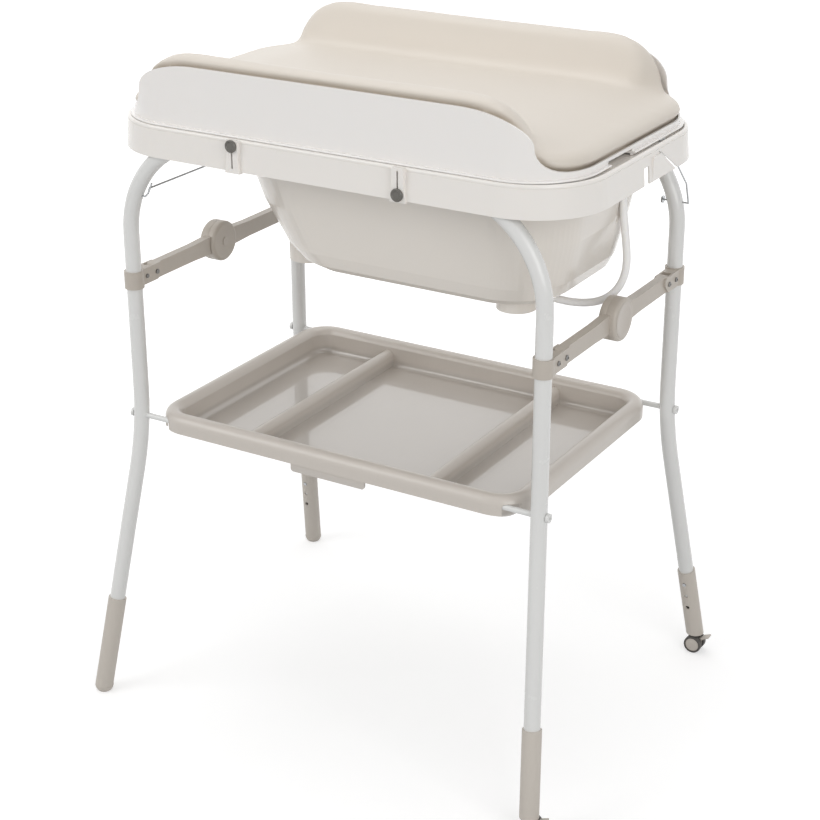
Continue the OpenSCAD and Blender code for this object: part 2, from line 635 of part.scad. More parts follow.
module basin() {
  rim_x = skirt_x - skirt_draft;
  rim_y = skirt_y - skirt_draft;
  color("#f1f1f2") placed() difference() {
    union() {
      difference() {
        skirt_block(0, skirt_z, deck_z);
        skirt_block(skirt_wall, skirt_z - lean, deck_z + lean);
      }
      translate([0, 0, deck_z]) linear_extrude(height = deck_t)
        even_plan(rim_x - 1.5, rim_y - 1.5, skirt_top_r - 1.5);
      translate([0, 0, bead_z]) bead(rim_x - bead_r, rim_y - bead_r, skirt_top_r - bead_r, bead_r);
      tub_solid(0);
      tub_foot(foot_right);
      tub_foot(foot_left);
      for (x = [-190, -70, 70, 190]) translate([x - 1.5, -skirt_y + 3, top_z])
        cube([3, 45, deck_z - top_z]);
      for (x = [-190, -70, 70, 190]) translate([x - 7, leg_y, top_z]) rotate([0, 90, 0])
        cylinder(r = 15.4, h = 14);
      for (x = [-190, -70, 70, 190]) translate([x - 7, leg_y - 8, top_z + 8])
        cube([14, 16, deck_z - top_z - 8]);
      for (y = [-70, 0, 70]) translate([-skirt_x + 4, y - 1.2, 940]) cube([160, 2.4, deck_z - 940]);
      for (x = [-1, 1], s = [-1, 1]) translate([x*hinge_x + s*8 - 2, 0, 0]) {
        translate([0, hinge_y, hinge_z]) rotate([0, 90, 0]) cylinder(r = hinge_r, h = 4);
        rotate([90, 0, 90]) linear_extrude(height = 4)
          polygon([[rim_y - 1.2, 950], [rim_y + 2, 950], [hinge_y + hinge_r - 0.8, hinge_z - 3],
                   [hinge_y, hinge_z + hinge_r - 0.2], [rim_y - 1.2, 970]]);
      }
      latch_guide(latch_left_x);
      latch_guide(latch_right_x);
      translate([rim_x - 1, 0, 0]) rotate([90, 0, 90]) linear_extrude(height = 4.6)
        polygon([[20, skirt_z + 1], [104, skirt_z + 1], [48, 960], [20, 960]]);
      translate([hose_x, hose_y, 930]) cylinder(r = hose_bore - 0.1, h = deck_z - 930);
    }
    difference() {
      tub_solid(basin_wall);
      hose_channel(8 + basin_wall, deck_top);
    }
    difference() {
      hose_channel(8, deck_z);
      translate([hose_x, hose_y, 930]) cylinder(r = hose_bore - 0.1, h = 100);
    }
    translate([drain_x, 0, tub_z - 5]) cylinder(r = drain_r, h = 20);
    for (x = [-190, -70, 70, 190]) {
      translate([x - 20, -leg_y, top_z]) rotate([0, 90, 0]) cylinder(r = tube_r + run, h = 40);
      translate([x - 20, leg_y, top_z]) rotate([0, 90, 0]) cylinder(r = tube_r + run, h = 40);
      translate([x - 20, leg_y - 10, top_z - 40]) cube([40, 20, 34]);
    }
    for (s = [-1, 1]) translate([s*264.5 - 61.5, skirt_y - 12, skirt_z - 5])
      cube([123, 20, deck_z - skirt_z + 5]);
    translate([skirt_x - 12, -8, skirt_z - 1]) cube([20, 17, 27]);
    translate([skirt_x - 12, 0, 0]) rotate([90, 0, 90]) linear_extrude(height = 20)
      polygon([[104, skirt_z - 1], [112, skirt_z - 1], [50, deck_z - 3], [42, deck_z - 3]]);
    translate([388, 76, 950]) cylinder(r = 2.2, h = 30);
    translate([386, 86, 950]) cube([5.6, 16, 30]);
    latch_groove(latch_left_x);
    latch_groove(latch_right_x);
    for (x = [-1, 1]) translate([x*hinge_x - 15, hinge_y, hinge_z]) rotate([0, 90, 0])
      cylinder(r = hinge_pin_r, h = 30);
  }
}

module drain_fitting() {
  color("#e6e6e7") placed() difference() {
    union() {
      translate([drain_x, 0, tub_z + basin_wall]) rotate_extrude()
        polygon([[0, 0], [22, 0], [21, 1.6], [17, 2.4], [0, 2.4]]);
      translate([drain_x, 0, tub_z - 26]) cylinder(r = drain_r - 0.1, h = 28 + basin_wall);
      translate([drain_x, 0, tub_z - 9]) cylinder(r = 23, h = 8.7, $fn = 64);
      translate([drain_x, 0, tub_z - 34]) cylinder(r = 11, h = 12);
      translate([drain_x, 0, 735]) rotate([0, 90, 0]) cylinder(r = 7, h = 15.5);
      rod_between(hose_route[0] - 0.6*hose_lead, hose_route[0] + 0.5*hose_lead, hose_bore - gap);
    }
    translate([drain_x, 0, tub_z - 22]) cylinder(r = 13, h = 40);
    translate([drain_x, 0, tub_z - 30]) cylinder(r = 8, h = 20);
  }
}

module drain_plug() {
  color("#d8d8da") placed() translate([drain_x, 0, tub_z + basin_wall]) {
    translate([0, 0, -9]) cylinder(r = 12.9, h = 11.5);
    translate([0, 0, 2.5]) rotate_extrude() polygon([[0, 0], [16, 0], [15.6, 1.2], [13, 2], [0, 2]]);
    difference() {
      translate([-2, -8, 4]) cube([4, 16, 8]);
      translate([-3, 0, 9.5]) rotate([0, 90, 0]) cylinder(r = 1.5, h = 6);
    }
  }
}

module drain_hose() {
  color("#eeeeef") placed() difference() {
    bent_rod(hose_route, hose_r);
    bent_rod(concat([hose_route[0] - 0.25*hose_lead], [for (i = [1:len(hose_route) - 2]) hose_route[i]],
                    [hose_route[len(hose_route) - 1] + [0, 0, 5]]), hose_bore);
  }
}

module latch(x, z) {
  color("#8d8780") placed() translate([x, -pad_y, z]) {
    translate([-6.1, 1.5, -5]) cube([12.2, 1.8, 10]);
    translate([-1.1, -0.5, -3.6]) cube([2.2, 2.6, 7.2]);
    rotate([90, 0, 0]) translate([0, 0, 0.3]) difference() {
      rotate_extrude() polygon([[0, 0], [9.5, 0], [9.5, 2.6], [8.6, 3.8], [0, 3.8]]);
      translate([0, 0, 2.4]) cylinder(r1 = 6, r2 = 7.4, h = 1.6);
    }
  }
}

// Height of the wall at x: level, a round shoulder, a hollow curve, then the low end.
function wall_z(x, top) =
  abs(x) < s_start ? top :
  abs(x) < s_mid ? wall_end_z + (top - wall_end_z)*(0.41667 + 0.58333*cos(asin((abs(x) - s_start)/(s_mid - s_start)))) :
  abs(x) < s_end ? wall_end_z + (top - wall_end_z)*0.41667*(1 - sin(acos((s_end - abs(x))/(s_end - s_mid)))) :
  wall_end_z;

wall_steps = [for (i = [0:12]) s_start + (s_mid - s_start)*sin(i*7.5)];
wall_steps2 = [for (i = [1:8]) s_end - (s_end - s_mid)*cos(i*11.25)];

module above_wall(top) {
  xs = concat(wall_steps, wall_steps2);
  right = [for (x = xs) [x, wall_z(x, top)]];
  left = [for (i = [len(xs) - 1:-1:0]) [-xs[i], wall_z(xs[i], top)]];
  polygon(concat([[-500, wall_end_z]], left, right, [[500, wall_end_z], [500, top + 60], [-500, top + 60]]));
}

module changing_top() {
  color("#f4f4f5") placed() difference() {
    union() {
      difference() {
        translate([0, 0, base_z + 0.3]) linear_extrude(height = wall_rear_z - base_z)
          even_plan(top_x - 1, top_y - 1, top_r - 1);
        translate([0, 0, floor_z + 3]) linear_extrude(height = 200)
          even_plan(top_x - 1 - top_wall, top_y - 1 - top_wall, top_r - 1 - top_wall);
        translate([0, 0, base_z - 1]) linear_extrude(height = floor_z - base_z + 1)
          even_plan(top_x - 1 - top_wall, top_y - 1 - top_wall, top_r - 1 - top_wall);
        rotate([90, 0, 0]) linear_extrude(height = 400) above_wall(wall_front_z);
        translate([0, 400, 0]) rotate([90, 0, 0]) linear_extrude(height = 400) above_wall(wall_rear_z);
      }
      difference() {
        union() {
          translate([0, 0, lip_low]) linear_extrude(height = 3)
            even_plan(top_x + lip_out - 1.5, top_y + lip_out - 1.5, top_r + lip_out - 1.5);
          translate([0, 0, lip_low + 1.5])
            bead(top_x + lip_out - 1.5, top_y + lip_out - 1.5, top_r + lip_out - 1.5, 1.5);
        }
        translate([0, 0, lip_low - 1]) linear_extrude(height = 5) even_plan(top_x - 2, top_y - 2, top_r - 2);
      }
      for (x = [-1, 1]) translate([x*hinge_x - lug_half, 0, 0]) {
        rotate([90, 0, 90]) linear_extrude(height = 2*lug_half)
          polygon([[top_y - 2, rim_z + 0.4], [hinge_y, rim_z + 0.4], [hinge_y, hinge_z + hinge_r],
                   [hinge_y - 6, hinge_z + hinge_r], [top_y - 2, hinge_z + 26]]);
        translate([0, hinge_y, hinge_z]) rotate([0, 90, 0]) cylinder(r = hinge_r, h = 2*lug_half);
      }
    }
    translate([top_x - 12, -95, base_z - 1]) cube([20, 79, notch_h]);
    for (x = [-1, 1]) translate([x*hinge_x - 15, hinge_y, hinge_z]) rotate([0, 90, 0])
      cylinder(r = hinge_pin_r + run, h = 30);
  }
}

// The mat is a closed skin of rings that follow the plan outline, drawn in ring by ring.
// One quarter of a ring: steps up the end, round the corner, then along the side.
mat_quarter = concat([for (f = [0.3, 0.75]) [0, f]], [for (a = [0:11.25:90]) [1, a]],
                     [for (f = [0.95, 0.9, 0.84, 0.78, 0.7, 0.3]) [2, f]]);
mat_q = len(mat_quarter);
mat_n = 4*mat_q;
mat_out = 0.5;
mat_edge = 18;              // radius of the cover's outer edge
function mat_xy(i, d) =
  let (q = floor(i/mat_q), j = i - q*mat_q, even = q%2 == 0,
       e = mat_quarter[even ? j : mat_q - 1 - j], r = max(top_r - d, 8),
       lx = top_x - d - r, ly = top_y - d - r,
       p = e[0] == 0 ? [lx + r, e[1]*ly] : e[0] == 1 ? [lx + r*cos(e[1]), ly + r*sin(e[1])] :
           [e[1]*lx, ly + r])
  [(q == 0 || q == 3) ? p.x : -p.x, q < 2 ? p.y : -p.y];
// Height of the cover at a distance in from the outline, by the wall beside it.
function mat_top(w, d) =
  let (crest = max(w + bolster, mat_flat_z), t = min(max((d - 30)/50, 0), 1),
       edge = d < mat_edge ? mat_edge - sqrt(max(d*(2*mat_edge - d), 0)) : 0)
  mat_flat_z + (crest - mat_flat_z)*(1 - t*t*(3 - 2*t)) - edge;
mat_rings = [0, 0.3, 1.6, 4.5, 10, 19, 31, 44, 56, 68, 82, 130];
function mat_point(k, i) =
  let (p = mat_xy(i, mat_out + mat_rings[k]), o = mat_xy(i, mat_out))
  [p.x, p.y, mat_top(wall_z(o.x, o.y < 0 ? wall_front_z : wall_rear_z), mat_rings[k])];

module mat_skin() {
  m = len(mat_rings);
  base = [for (i = [0:mat_n - 1]) let (p = mat_xy(i, mat_out)) [p.x, p.y, floor_z + 3.3]];
  pts = concat(base, [for (k = [0:m - 1], i = [0:mat_n - 1]) mat_point(k, i)],
               [[0, 0, floor_z + 3.3], [0, 0, mat_flat_z]]);
  low = (m + 1)*mat_n;
  faces = concat(
    [for (k = [0:m - 1], i = [0:mat_n - 1]) [k*mat_n + i, (k + 1)*mat_n + i, k*mat_n + (i + 1)%mat_n]],
    [for (k = [0:m - 1], i = [0:mat_n - 1])
      [k*mat_n + (i + 1)%mat_n, (k + 1)*mat_n + i, (k + 1)*mat_n + (i + 1)%mat_n]],
    [for (i = [0:mat_n - 1]) [low, i, (i + 1)%mat_n]],
    [for (i = [0:mat_n - 1]) [low + 1, m*mat_n + (i + 1)%mat_n, m*mat_n + i]]);
  polyhedron(points = pts, faces = faces, convexity = 6);
}

// The room the walls of the changing top take, with a little air above them.
module wall_room() {
  inner = mat_out + top_wall + 1.2;
  difference() {
    translate([0, 0, base_z]) linear_extrude(height = 140) even_plan(top_x + 2, top_y + 2, top_r + 2);
    translate([0, 0, base_z - 1]) linear_extrude(height = 142)
      even_plan(top_x - inner, top_y - inner, top_r - inner);
    translate([0, 0, 1.6]) rotate([90, 0, 0]) linear_extrude(height = 400) above_wall(wall_front_z);
    translate([0, 400, 1.6]) rotate([90, 0, 0]) linear_extrude(height = 400) above_wall(wall_rear_z);
  }
}

module mat() {
  color("#c9bcae") placed() difference() {
    mat_skin();
    wall_room();
  }
}

module hinge_pin(sx) color("#8f9193") placed() translate([sx*hinge_x - 11, hinge_y, hinge_z])
  rotate([0, 90, 0]) cylinder(r = hinge_pin_r, h = 22);

// The tray that lies on the two shelf rods, with a rolled rim and a lip that hangs from it.
module tray_form() {
  difference() {
    union() {
      translate([0, 0, tray_floor_z]) linear_extrude(height = roll_z - tray_floor_z)
        even_plan(tray_body_x - round_r, tray_body_y - round_r, tray_body_r - round_r);
      translate([0, 0, tray_floor_z + round_r])
        bead(tray_body_x - round_r, tray_body_y - round_r, tray_body_r - round_r, round_r);
      translate([0, 0, tray_floor_z + round_r]) linear_extrude(height = roll_z - tray_floor_z - round_r)
        even_plan(tray_body_x, tray_body_y, tray_body_r);
      difference() {
        translate([0, 0, lip_z]) linear_extrude(height = roll_z - lip_z) even_plan(tray_x, tray_y, tray_rim_r);
        translate([0, 0, lip_z - 1]) linear_extrude(height = roll_z - lip_z + 2)
          even_plan(tray_x - tray_wall, tray_y - tray_wall, tray_rim_r - tray_wall);
      }
      translate([0, 0, roll_z]) bead(tray_x - tray_roll, tray_y - tray_roll, tray_rim_r - tray_roll, tray_roll);
    }
    difference() {
      union() {
        translate([0, 0, lip_z - 1]) linear_extrude(height = roll_z - lip_z + 1)
          even_plan(tray_x - tray_wall, tray_y - tray_wall, tray_rim_r - tray_wall);
        translate([0, 0, roll_z])
          bead(tray_x - tray_roll, tray_y - tray_roll, tray_rim_r - tray_roll, tray_roll - tray_wall);
      }
      translate([0, 0, lip_z - 2]) linear_extrude(height = 40) even_plan(tray_body_x, tray_body_y, tray_body_r);
    }
  }
}

// The flap under the middle of the front lip that the hand takes hold of.
module tray_grip() {
  translate([0, -tray_y + 5.5, 0]) rotate([90, 0, 0]) linear_extrude(height = 3.5) {
    translate([-64, 462]) square([134, 14]);
    translate([-59, 457]) square([124, 6]);
    for (x = [-59, 65]) translate([x, 462]) circle(r = 5);
  }
}

module shelf_tray() {
  color("#b7ab9e") placed() difference() {
    union() {
      tray_form();
      for (x = [-220, -60, 60, 220]) {
        translate([x - 1.5, -tray_y + 2, rod_z]) cube([3, 24, 8]);
        translate([x - 6, rod_y, rod_z]) rotate([0, 90, 0]) cylinder(r = 7.5, h = 12);
        translate([x - 6, rod_y - 7.5, rod_z + 4]) cube([12, 15, 8]);
      }
      tray_grip();
    }
    difference() {
      union() {
        translate([0, 0, tray_floor_z + round_r]) linear_extrude(height = 60)
          even_plan(tray_body_x - tray_wall, tray_body_y - tray_wall, tray_body_r - tray_wall);
        translate([0, 0, tray_floor_z + tray_wall]) linear_extrude(height = 60)
          even_plan(tray_body_x - round_r, tray_body_y - round_r, tray_body_r - round_r);
        translate([0, 0, tray_floor_z + round_r])
          bead(tray_body_x - round_r, tray_body_y - round_r, tray_body_r - round_r, round_r - tray_wall);
      }
      for (s = [-1, 1]) translate([s*divider_x, 230, 0]) rotate([90, 0, 0])
        linear_extrude(height = 460) {
          translate([-ridge_r, tray_floor_z]) square([2*ridge_r, ridge_z - tray_floor_z]);
          translate([0, ridge_z]) circle(r = ridge_r);
        }
    }
    for (s = [-1, 1]) translate([s*divider_x, tray_body_y - 12, 0]) rotate([90, 0, 0])
      linear_extrude(height = 2*tray_body_y - 24) {
        translate([-ridge_r + tray_wall, tray_floor_z - 1])
          square([2*(ridge_r - tray_wall), ridge_z - tray_floor_z + 1]);
        translate([0, ridge_z]) circle(r = ridge_r - tray_wall);
      }
    for (x = [-220, -60, 60, 220]) {
      translate([x - 10, -rod_y, rod_z]) rotate([0, 90, 0]) cylinder(r = rod_r + run, h = 20);
      translate([x - 10, rod_y, rod_z]) rotate([0, 90, 0]) cylinder(r = rod_r + run, h = 20);
      translate([x - 10, rod_y - 3.6, rod_z - 20]) cube([20, 7.2, 20]);
    }
    for (sx = [-1, 1], sy = [-1, 1]) {
      translate([sx*(tray_x - 20) - 25, sy*rod_y, rod_z]) rotate([0, 90, 0])
        cylinder(r = rod_r + 0.7, h = 50);
      translate([sx*(tray_x - 20) - 25, sy*rod_y - rod_r - 0.7, lip_z - 5])
        cube([50, 2*rod_r + 1.4, rod_z - lip_z + 5]);
    }
    translate([304, -tray_y - 1, lip_z - 1]) cube([30, 29, 19]);
  }
}

frame_tube(1);  // rear_frame_tube
frame_tube(-1);  // front_frame_tube
shelf_rod(1);  // rear_shelf_rod
shelf_rod(-1);  // front_shelf_rod
clamp(-1, -1);  // clamp_front_left
clamp(1, -1);  // clamp_front_right
clamp(-1, 1);  // clamp_rear_left
clamp(1, 1);  // clamp_rear_right
pivot(-1, -1);  // pivot_front_left
pivot(1, -1);  // pivot_front_right
pivot(-1, 1);  // pivot_rear_left
pivot(1, 1);  // pivot_rear_right
screw(-1, -1);  // screw_front_left
screw(1, -1);  // screw_front_right
screw(-1, 1);  // screw_rear_left
screw(1, 1);  // screw_rear_right
bar_front(-1);  // bar_front_left
bar_front(1);  // bar_front_right
bar_rear(-1);  // bar_rear_left
bar_rear(1);  // bar_rear_right
hub_button(-1);  // hub_button_left
hub_button(1);  // hub_button_right
hub_pin(-1);  // hub_pin_left
hub_pin(1);  // hub_pin_right
stay_wire_left();
hook_wire_right();
snap(-1, -1);  // snap_front_left
snap(1, -1);  // snap_front_right
snap(-1, 1);  // snap_rear_left
snap(1, 1);  // snap_rear_right
sleeve(-1, -1);  // sleeve_front_left
sleeve(1, -1);  // sleeve_front_right
sleeve(-1, 1);  // sleeve_rear_left
sleeve(1, 1);  // sleeve_rear_right
foot(-1);  // foot_front_left
foot(1);  // foot_rear_left
caster_fork(-1);  // caster_fork_front
caster_hub(-1);  // caster_hub_front
caster_tyre(-1, 0);  // caster_tyre_a_front
caster_tyre(-1, 1);  // caster_tyre_b_front
caster_brake(-1);  // caster_brake_front
caster_fork(1);  // caster_fork_rear
caster_hub(1);  // caster_hub_rear
caster_tyre(1, 0);  // caster_tyre_a_rear
caster_tyre(1, 1);  // caster_tyre_b_rear
caster_brake(1);  // caster_brake_rear
basin();
drain_fitting();
drain_plug();
drain_hose();
latch(latch_left_x, latch_low + latch_travel);  // latch_left
latch(latch_right_x, latch_low);  // latch_right
changing_top();
mat();
hinge_pin(-1);  // hinge_pin_left
hinge_pin(1);  // hinge_pin_right
shelf_tray();
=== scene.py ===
import math

import bmesh
import bpy
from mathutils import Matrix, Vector
from mathutils.bvhtree import BVHTree


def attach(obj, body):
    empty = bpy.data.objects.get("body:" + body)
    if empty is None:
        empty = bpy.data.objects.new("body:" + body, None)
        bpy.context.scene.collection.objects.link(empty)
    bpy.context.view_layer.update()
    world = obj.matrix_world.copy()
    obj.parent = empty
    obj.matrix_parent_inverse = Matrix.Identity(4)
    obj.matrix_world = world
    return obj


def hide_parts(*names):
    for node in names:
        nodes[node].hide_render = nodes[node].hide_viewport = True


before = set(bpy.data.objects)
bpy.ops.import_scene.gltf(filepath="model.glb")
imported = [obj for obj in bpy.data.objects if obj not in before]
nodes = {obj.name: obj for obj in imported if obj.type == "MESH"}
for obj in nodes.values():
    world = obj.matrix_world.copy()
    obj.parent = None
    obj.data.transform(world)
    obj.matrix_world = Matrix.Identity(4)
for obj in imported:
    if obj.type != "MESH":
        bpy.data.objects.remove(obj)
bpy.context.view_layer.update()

# The table is seen from its front right corner, a little from above.
# A long lens keeps the legs nearly upright, as in the photograph.
lens = bpy.data.cameras.new("table_camera")
lens.lens = 81.30
lens.sensor_width = 36
lens.shift_x = -0.0068
lens.shift_y = -0.0032
lens.dof.use_dof = False
turned_right, tilted_down = 30.723, 23.349
camera = bpy.data.objects.new("table_camera", lens)
camera.location = (1.41813, -2.3638, 1.6808)
camera.rotation_euler = (math.radians(90 - tilted_down), 0, math.radians(turned_right))
bpy.context.scene.collection.objects.link(camera)
bpy.context.scene.camera = camera
bpy.context.scene.view_settings.view_transform = "Standard"

# The drain hose is soft white vinyl, 12 mm thick. It leaves the elbow under the tub,
# hangs in one easy bow and is pressed over a peg under the deck, so water can't run out.
hose_width = 0.012
mid_x = -0.005668  # the middle of the tub and of the mat
# the hose's route is counted from the middle of the tub
hose_points = [(0.2187, 0.0015, 0.7329), (0.2345, 0.0056, 0.7271), (0.258, 0.012, 0.7215),
               (0.280, 0.017, 0.7188), (0.302, 0.0225, 0.7193), (0.322, 0.028, 0.7238),
               (0.3385, 0.036, 0.7335), (0.349, 0.043, 0.7480), (0.3545, 0.048, 0.7660),
               (0.3558, 0.050, 0.7850), (0.3545, 0.050, 0.8050), (0.3510, 0.050, 0.8300),
               (0.3475, 0.050, 0.8550), (0.3450, 0.050, 0.8800), (0.3437, 0.050, 0.9050),
               (0.3435, 0.050, 0.9480)]
hose_points = [Vector((x + mid_x, y, z)) for x, y, z in hose_points]


def rounded_run(name, points, radius):
    """A round hose that bends smoothly through the points, turned into a mesh."""
    run = bpy.data.curves.new(name, "CURVE")
    run.dimensions = "3D"
    run.bevel_depth = radius
    run.bevel_resolution = 12
    run.resolution_u = 8
    run.use_fill_caps = True
    spline = run.splines.new("NURBS")
    spline.points.add(len(points) - 1)
    for spot, point in zip(spline.points, points):
        spot.co = (*point, 1)
    spline.order_u = 3
    spline.use_endpoint_u = True
    drawn = bpy.data.objects.new(name + "_run", run)
    bpy.context.scene.collection.objects.link(drawn)
    mesh = bpy.data.meshes.new_from_object(
        drawn.evaluated_get(bpy.context.evaluated_depsgraph_get()))
    bpy.data.objects.remove(drawn)
    piece = bpy.data.objects.new(name, mesh)
    bpy.context.scene.collection.objects.link(piece)
    shell = bmesh.new()
    shell.from_mesh(mesh)
    bmesh.ops.remove_doubles(shell, verts=shell.verts, dist=0.00001)
    bmesh.ops.recalc_face_normals(shell, faces=shell.faces)
    for face in shell.faces:
        face.smooth = len(face.verts) <= 4  # all but the two round ends
    shell.to_mesh(mesh)
    shell.free()
    mesh.materials.clear()
    return piece


drain_hose = rounded_run("hose_bow", hose_points, hose_width / 2)
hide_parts("drain_hose")
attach(drain_hose, "tub")

# The table stands on a plain pale floor in an even white studio.
# The floor shows white to the camera and in gloss, and keeps the table's soft shadow.
floor_mesh = bpy.data.meshes.new("studio_floor")
sheet = bmesh.new()
bmesh.ops.create_grid(sheet, x_segments=1, y_segments=1, size=14)
sheet.to_mesh(floor_mesh)
sheet.free()
studio_floor = bpy.data.objects.new("studio_floor", floor_mesh)
bpy.context.scene.collection.objects.link(studio_floor)


def feed(tree, value, socket):
    """Links a node's output to a socket, or sets the socket to a plain value."""
    if isinstance(value, bpy.types.NodeSocket):
        tree.links.new(value, socket)
    else:
        socket.default_value = value


def math_step(tree, operation, a, b, clamp=False):
    """One sum on two values or outputs."""
    step = tree.nodes.new("ShaderNodeMath")
    step.operation = operation
    step.use_clamp = clamp
    feed(tree, a, step.inputs[0])
    feed(tree, b, step.inputs[1])
    return step.outputs[0]


def seen_white(tree, strength):
    """A strength that is there only for the camera, for gloss and for glass."""
    ray = tree.nodes.new("ShaderNodeLightPath").outputs
    either = math_step(tree, "MAXIMUM", ray["Is Camera Ray"], ray["Is Glossy Ray"])
    any_of = math_step(tree, "MAXIMUM", either, ray["Is Transmission Ray"])
    return math_step(tree, "MULTIPLY", any_of, strength)


floor_paint = bpy.data.materials.new("studio_floor")
floor_paint.use_nodes = True
floor_tree = floor_paint.node_tree
floor_shader = floor_tree.nodes["Principled BSDF"]
for label, value in (("Base Color", (0.70, 0.70, 0.70, 1)), ("Roughness", 0.9),
                     ("Specular IOR Level", 0.1), ("Emission Color", (1, 1, 1, 1))):
    floor_shader.inputs[label].default_value = value
# the glow grows with the distance from the table, so the floor runs out into plain white
floor_place = floor_tree.nodes.new("ShaderNodeTexCoord")
away = floor_tree.nodes.new("ShaderNodeVectorMath")
away.operation = "LENGTH"
floor_tree.links.new(floor_place.outputs["Object"], away.inputs[0])
rise = floor_tree.nodes.new("ShaderNodeMapRange")
for label, value in (("From Min", 0.5), ("From Max", 2.4), ("To Min", 0.48), ("To Max", 0.80)):
    rise.inputs[label].default_value = value
floor_tree.links.new(away.outputs["Value"], rise.inputs["Value"])
glow = math_step(floor_tree, "MULTIPLY", rise.outputs[0], seen_white(floor_tree, 1.0))
floor_tree.links.new(glow, floor_shader.inputs["Emission Strength"])
floor_mesh.materials.append(floor_paint)

# the walls give an even light, and look brighter than that light where they are seen
wall_light, seen_on_top = 0.47, 0.88
studio = bpy.data.worlds.new("studio")
studio.use_nodes = True
bpy.context.scene.world = studio
walls = studio.node_tree.nodes["Background"]
walls.inputs["Color"].default_value = (1, 1, 1, 1)
around = math_step(studio.node_tree, "ADD", seen_white(studio.node_tree, seen_on_top), wall_light)
studio.node_tree.links.new(around, walls.inputs["Strength"])

lit_middle = Vector((0, 0, 0.75))
for name, place, size, power in (("window_left", (-2.3, -2.6, 2.7), 2.2, 38),
                                 ("window_right", (2.9, -1.9, 1.9), 2.2, 37),
                                 ("panel_above", (-0.5, 0.6, 3.5), 2.6, 30)):
    lamp = bpy.data.lights.new(name, "AREA")
    lamp.size = size
    lamp.energy = power
    soft_box = bpy.data.objects.new(name, lamp)
    soft_box.location = place
    soft_box.rotation_euler = (Vector(place) - lit_middle).to_track_quat("Z", "Y").to_euler()
    bpy.context.scene.collection.objects.link(soft_box)

# The frame is two bent steel tubes, 25 mm thick, with a white baked powder coat.
# The shelf rods carry the same coat. It has a faint orange peel and small thin places.


def tone(red, green, blue):
    """A colour given as it looks on screen, 0 to 255."""
    def linear(v):
        v /= 255
        return v / 12.92 if v <= 0.04045 else ((v + 0.055) / 1.055) ** 2.4
    return (linear(red), linear(green), linear(blue), 1)


def effect(name, takes, gives):
    """An empty shader group with its named sockets."""
    group = bpy.data.node_groups.new(name, "ShaderNodeTree")
    for label, kind, value in takes:
        socket = group.interface.new_socket(label, in_out="INPUT", socket_type="NodeSocket" + kind)
        socket.default_value = value
    for label, kind in gives:
        group.interface.new_socket(label, in_out="OUTPUT", socket_type="NodeSocket" + kind)
    return (group, group.nodes.new("NodeGroupInput").outputs,
            group.nodes.new("NodeGroupOutput").inputs)


def blend_step(tree, factor, a, b, blend="MIX"):
    """Goes from colour a to colour b as the factor says."""
    step = tree.nodes.new("ShaderNodeMix")
    step.data_type = "RGBA"
    step.blend_type = blend
    feed(tree, factor, step.inputs["Factor"])
    feed(tree, a, step.inputs[6])
    feed(tree, b, step.inputs[7])
    return step.outputs[2]


def noise_step(tree, where, scale, detail, rough, stretch=None):
    """Soft noise, drawn out along an axis where stretch is small."""
    if stretch:
        turned = tree.nodes.new("ShaderNodeMapping")
        turned.inputs["Scale"].default_value = stretch
        tree.links.new(where, turned.inputs["Vector"])
        where = turned.outputs[0]
    grain = tree.nodes.new("ShaderNodeTexNoise")
    grain.inputs["Detail"].default_value = detail
    grain.inputs["Roughness"].default_value = rough
    tree.links.new(where, grain.inputs["Vector"])
    feed(tree, scale, grain.inputs["Scale"])
    return grain.outputs["Fac"]


# the skin of a moulded or coated surface: clouds of tone, uneven gloss and a fine peel
skin_group, skin_in, skin_out = effect(
    "moulded_skin",
    [("Colour", "Color", (0.8, 0.8, 0.8, 1)), ("Cloud colour", "Color", (0.7, 0.7, 0.7, 1)),
     ("Clouds", "Float", 0.3), ("Cloud scale", "Float", 6.0), ("Roughness", "Float", 0.3),
     ("Gloss swing", "Float", 0.08), ("Peel scale", "Float", 400.0), ("Peel", "Float", 0.5),
     ("Waves", "Float", 0.3)],
    [("Colour", "Color"), ("Roughness", "Float"), ("Height", "Float")])
at = skin_group.nodes.new("ShaderNodeTexCoord").outputs["Object"]
clouds = noise_step(skin_group, at, skin_in["Cloud scale"], detail=4.0, rough=0.55)
cloud_mask = math_step(skin_group, "MULTIPLY", clouds, skin_in["Clouds"], clamp=True)
skin_group.links.new(
    blend_step(skin_group, cloud_mask, skin_in["Colour"], skin_in["Cloud colour"]),
    skin_out["Colour"])
smears = noise_step(skin_group, at, scale=17.0, detail=5.0, rough=0.6, stretch=(1.0, 1.0, 2.2))
noise_middle = 0.5
uneven = math_step(skin_group, "MULTIPLY",
                   math_step(skin_group, "SUBTRACT", smears, noise_middle),
                   skin_in["Gloss swing"])
skin_group.links.new(math_step(skin_group, "ADD", skin_in["Roughness"], uneven, clamp=True),
                     skin_out["Roughness"])
peel = noise_step(skin_group, at, skin_in["Peel scale"], detail=2.0, rough=0.5)
waves = noise_step(skin_group, at, scale=24.0, detail=1.0, rough=0.4)
skin_group.links.new(
    math_step(skin_group, "ADD", math_step(skin_group, "MULTIPLY", peel, skin_in["Peel"]),
              math_step(skin_group, "MULTIPLY", waves, skin_in["Waves"])),
    skin_out["Height"])

